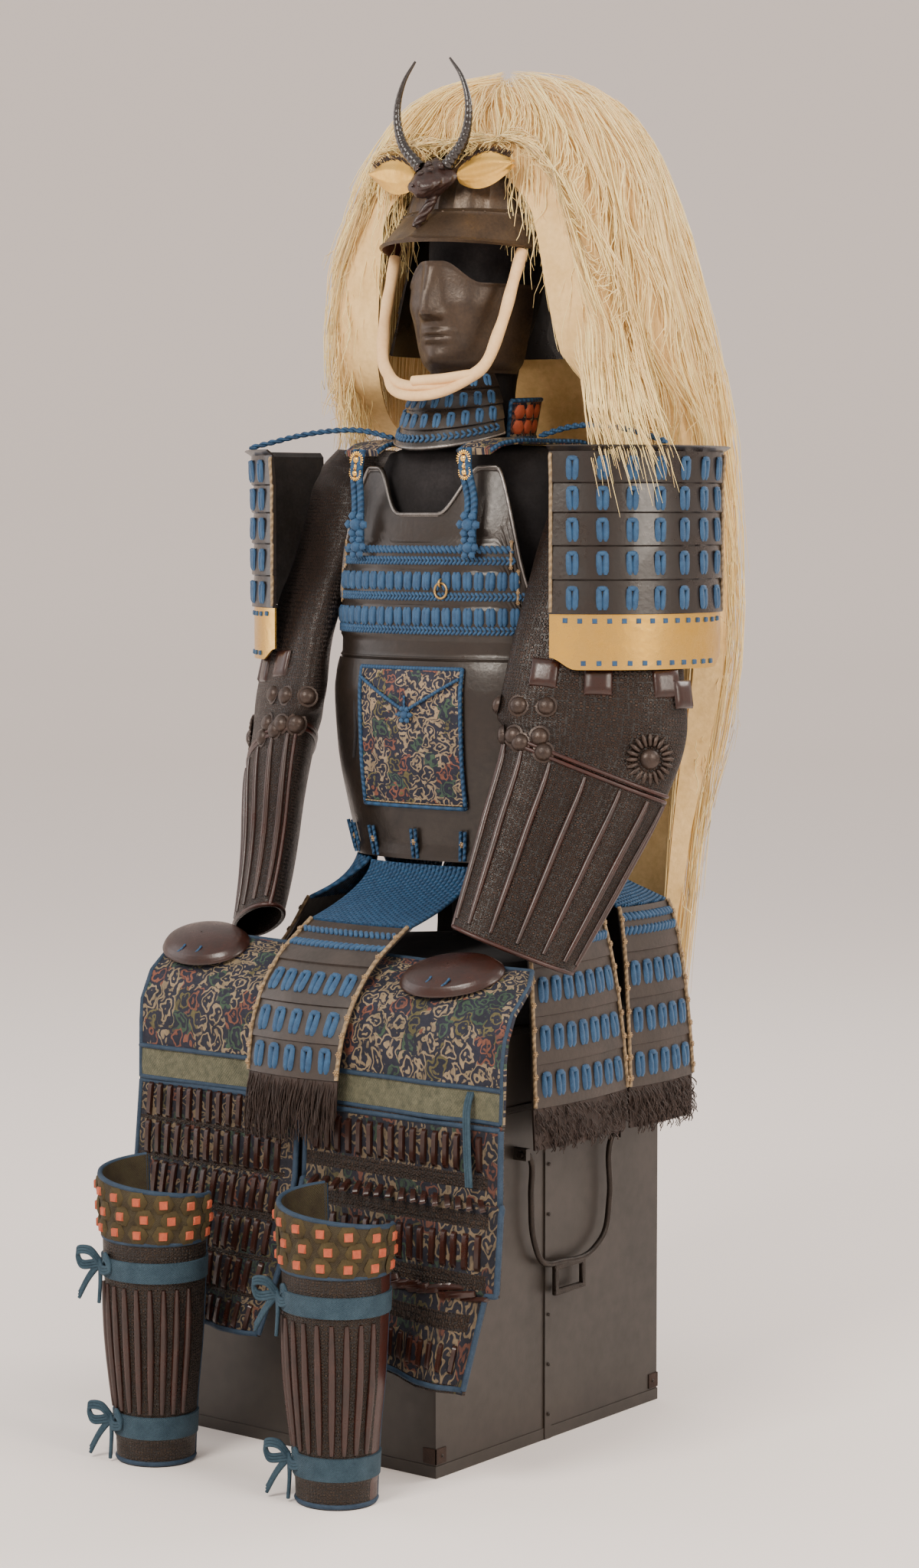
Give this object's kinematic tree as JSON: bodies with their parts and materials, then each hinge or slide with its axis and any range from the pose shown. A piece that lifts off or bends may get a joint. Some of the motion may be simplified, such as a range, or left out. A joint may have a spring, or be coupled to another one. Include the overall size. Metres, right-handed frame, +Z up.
{
  "type": "samurai armour seated on its storage box with a limbless black display form",
  "caption": "Full Japanese armour with horned hair-covered helmet and mask, cuirass, sleeves, skirts and shin guards, displayed sitting on its lidded storage box.",
  "frame": {"origin": "on the flat underside of the storage box, on the floor, under the middle of the armour", "axes": "+Z is up, the armour faces -Y, and its own left side is +X"},
  "size_m": [0.662, 0.7972, 1.629],
  "materials": {
    "box_lacquer": "worn dark grey-brown lacquer on wood with iron corners",
    "black_cloth": "matt black cloth over a padded form",
    "russet_iron": "russet iron, satin",
    "lacquered_plate": "brown-black lacquer on iron and leather plates with blue lacing",
    "dark_iron": "dark wrought iron",
    "horn_lacquer": "polished black-brown lacquer",
    "gilt": "gilt metal, worn",
    "pale_hair": "long pale cream hair",
    "cream_rope": "thick soft silk rope",
    "blue_silk": "braided blue silk",
    "brocade": "woven silk brocade on a navy ground",
    "mail_cloth": "iron mail and lacquered splints on lined cloth"
  },
  "bodies": {
    "armour": {"box_body": "box_lacquer", "box_lid": "box_lacquer", "stand_form": "black_cloth", "helmet_bowl": "russet_iron", "helmet_visor": "russet_iron", "neck_guard": "lacquered_plate", "crest_head": "horn_lacquer", "horn_right": "horn_lacquer", "horn_left": "horn_lacquer", "ear_left": "gilt", "ear_right": "gilt", "hair_mane": "pale_hair", "face_mask": "russet_iron", "throat_guard": "lacquered_plate", "chin_cord": "cream_rope", "chest_plate": "lacquered_plate", "back_plate": "lacquered_plate", "belly_plate": "lacquered_plate", "loin_plate": "lacquered_plate", "pouch": "brocade", "collar": "brocade", "strap_left": "brocade", "strap_cord_left": "blue_silk", "sode_left": "lacquered_plate", "sode_cord_left": "blue_silk", "sode_gold_left": "gilt", "sleeve_left": "mail_cloth", "forearm_left": "mail_cloth", "strap_right": "brocade", "strap_cord_right": "blue_silk", "sode_right": "lacquered_plate", "sode_cord_right": "blue_silk", "sode_gold_right": "gilt", "sleeve_right": "mail_cloth", "forearm_right": "mail_cloth", "hand_left": "lacquered_plate", "hand_right": "lacquered_plate", "tasset_cords_front": "blue_silk", "tasset_front": "lacquered_plate", "tasset_cords_left_front": "blue_silk", "tasset_left_front": "lacquered_plate", "tasset_cords_left_back": "blue_silk", "tasset_left_back": "lacquered_plate", "tasset_cords_right_front": "blue_silk", "tasset_right_front": "lacquered_plate", "tasset_cords_right_back": "blue_silk", "tasset_right_back": "lacquered_plate", "tasset_cords_back_left": "blue_silk", "tasset_back_left": "lacquered_plate", "tasset_cords_back_right": "blue_silk", "tasset_back_right": "lacquered_plate", "apron": "brocade", "panel_left": "mail_cloth", "panel_right": "mail_cloth", "shin_left": "mail_cloth", "knee_left": "brocade", "shin_right": "mail_cloth", "knee_right": "brocade"},
    "handle": {"box_handle": "dark_iron"},
    "ring": {"brass_ring": "gilt"}
  },
  "joints": [
    {"name": "handle_swing", "type": "hinge", "parent": "armour", "child": "handle", "pos_m": [0.186, 0.025, 0.352], "axis": [0, -1, 0], "range_deg": [0, 90]},
    {"name": "ring_swing", "type": "hinge", "parent": "armour", "child": "ring", "pos_m": [0.044, -0.0444, 1.012], "axis": [-1, 0, 0], "range_deg": [0, 120]}
  ]
}
